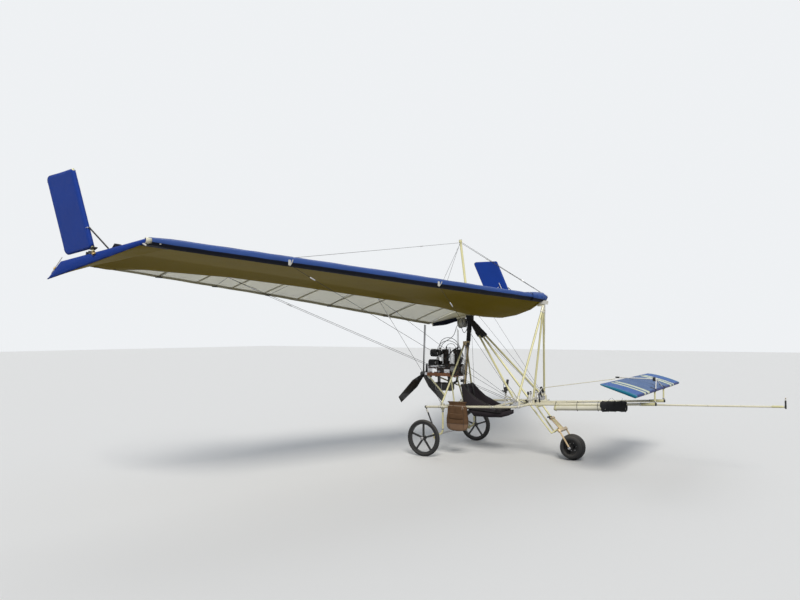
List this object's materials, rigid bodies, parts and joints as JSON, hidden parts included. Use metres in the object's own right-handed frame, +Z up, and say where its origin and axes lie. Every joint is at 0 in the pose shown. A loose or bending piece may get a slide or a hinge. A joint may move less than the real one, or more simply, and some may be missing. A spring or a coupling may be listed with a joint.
{
  "type": "canard microlight aircraft",
  "caption": "Open-frame canard microlight aircraft with a swept strut-and-wire braced wing, tip rudders, a pusher propeller and tricycle gear.",
  "frame": {"origin": "on the ground under the middle of the overall length and span", "axes": "+X forward to the nose pole, +Y to port along the span, +Z up"},
  "size_m": [6.3297, 10.136, 3.2769],
  "materials": {
    "bag_cloth": "brown mesh cloth",
    "black_steel": "black heatproof paint",
    "blue_cloth": "woven sailcloth, blue",
    "cream_tube": "anodised tube, pale gold",
    "drive_alloy": "machined alloy",
    "engine_alloy": "cast alloy, black and bare",
    "engine_bed": "painted plate, orange brown",
    "filter_foam": "black oiled foam",
    "foam": "black foam sleeve",
    "fork_steel": "painted tube, pale copper",
    "grey_plastic": "grey plastic pipe",
    "navy_cloth": "woven sailcloth, dark navy",
    "prop_wood": "lacquered black",
    "sailcloth": "woven sailcloth, blue, yellow and pale grey",
    "seat_cloth": "heavy black webbing cloth",
    "silver_tube": "anodised tube, silver",
    "steel": "turned steel",
    "tank_plastic": "translucent white plastic",
    "tyre": "rubber",
    "wheel_plastic": "moulded black plastic",
    "white_tube": "painted tube, white",
    "wire": "twisted steel wire"
  },
  "bodies": {
    "airframe": {"apex_fitting": "silver_tube", "canard_booms": "silver_tube", "canard_posts": "cream_tube", "carburettors": "filter_foam", "control_stick": "white_tube", "downtubes": "cream_tube", "drag_struts": "black_steel", "engine": "engine_alloy", "engine_plate": "engine_bed", "foot_rest": "white_tube", "front_cross_tube": "silver_tube", "fuel_tank": "tank_plastic", "gear_legs": "cream_tube", "hub_covers": "foam", "hub_struts": "cream_tube", "keel_pocket": "navy_cloth", "keel_tube": "silver_tube", "kingpost": "cream_tube", "main_axle": "steel", "main_stays": "wire", "nose_leg": "cream_tube", "nose_pole": "silver_tube", "pole_instrument": "black_steel", "pylon": "cream_tube", "rear_braces": "cream_tube", "rear_cross_tube": "silver_tube", "reduction_drive": "drive_alloy", "rudder_posts": "cream_tube", "saddle_bag": "bag_cloth", "seat": "seat_cloth", "seat_bar": "silver_tube", "seat_pan": "seat_cloth", "side_rails": "silver_tube", "silencer": "black_steel", "stowage_tube": "grey_plastic", "tip_panel_port": "blue_cloth", "tip_panel_starboard": "blue_cloth", "wing_port": "sailcloth", "wing_starboard": "sailcloth"},
    "propeller": {"propeller": "prop_wood"},
    "main_wheel_starboard": {"wheel_rim_starboard": "wheel_plastic", "wheel_tyre_starboard": "tyre"},
    "main_wheel_port": {"wheel_rim_port": "wheel_plastic", "wheel_tyre_port": "tyre"},
    "nose_fork": {"nose_fork": "fork_steel"},
    "nose_wheel": {"nose_rim": "wheel_plastic", "nose_tyre": "tyre"},
    "canard": {"canard": "blue_cloth"},
    "rudder_starboard": {"rudder_starboard": "blue_cloth"},
    "rudder_port": {"rudder_port": "blue_cloth"}
  },
  "joints": [
    {"name": "propeller_spin", "type": "hinge", "parent": "airframe", "child": "propeller", "pos_m": [-1.5955, 0, 1.058], "axis": [1, 0, 0], "continuous": true},
    {"name": "main_wheel_spin_starboard", "type": "hinge", "parent": "airframe", "child": "main_wheel_starboard", "pos_m": [-1.1285, -0.813, 0.248], "axis": [0, 1, 0], "continuous": true},
    {"name": "main_wheel_spin_port", "type": "hinge", "parent": "airframe", "child": "main_wheel_port", "pos_m": [-1.1285, 0.813, 0.248], "axis": [0, 1, 0], "continuous": true},
    {"name": "nose_steering", "type": "hinge", "parent": "airframe", "child": "nose_fork", "pos_m": [0.5395, 0, 0.392], "axis": [-0.7071, 0, 0.7071], "range_deg": [-20, 20]},
    {"name": "nose_wheel_spin", "type": "hinge", "parent": "nose_fork", "child": "nose_wheel", "pos_m": [0.6795, 0, 0.17], "axis": [0, 1, 0], "continuous": true},
    {"name": "canard_pitch", "type": "hinge", "parent": "airframe", "child": "canard", "pos_m": [1.78516, 0, 0.97956], "axis": [0, 1, 0], "range_deg": [-32, 3]},
    {"name": "rudder_swing_starboard", "type": "hinge", "parent": "airframe", "child": "rudder_starboard", "pos_m": [-2.2735, -5.046, 2.424], "axis": [-0.3935, 0, 0.9193], "range_deg": [0, 30]},
    {"name": "rudder_swing_port", "type": "hinge", "parent": "airframe", "child": "rudder_port", "pos_m": [-2.2735, 5.046, 2.424], "axis": [-0.3935, 0, 0.9193], "range_deg": [-30, 0]}
  ]
}
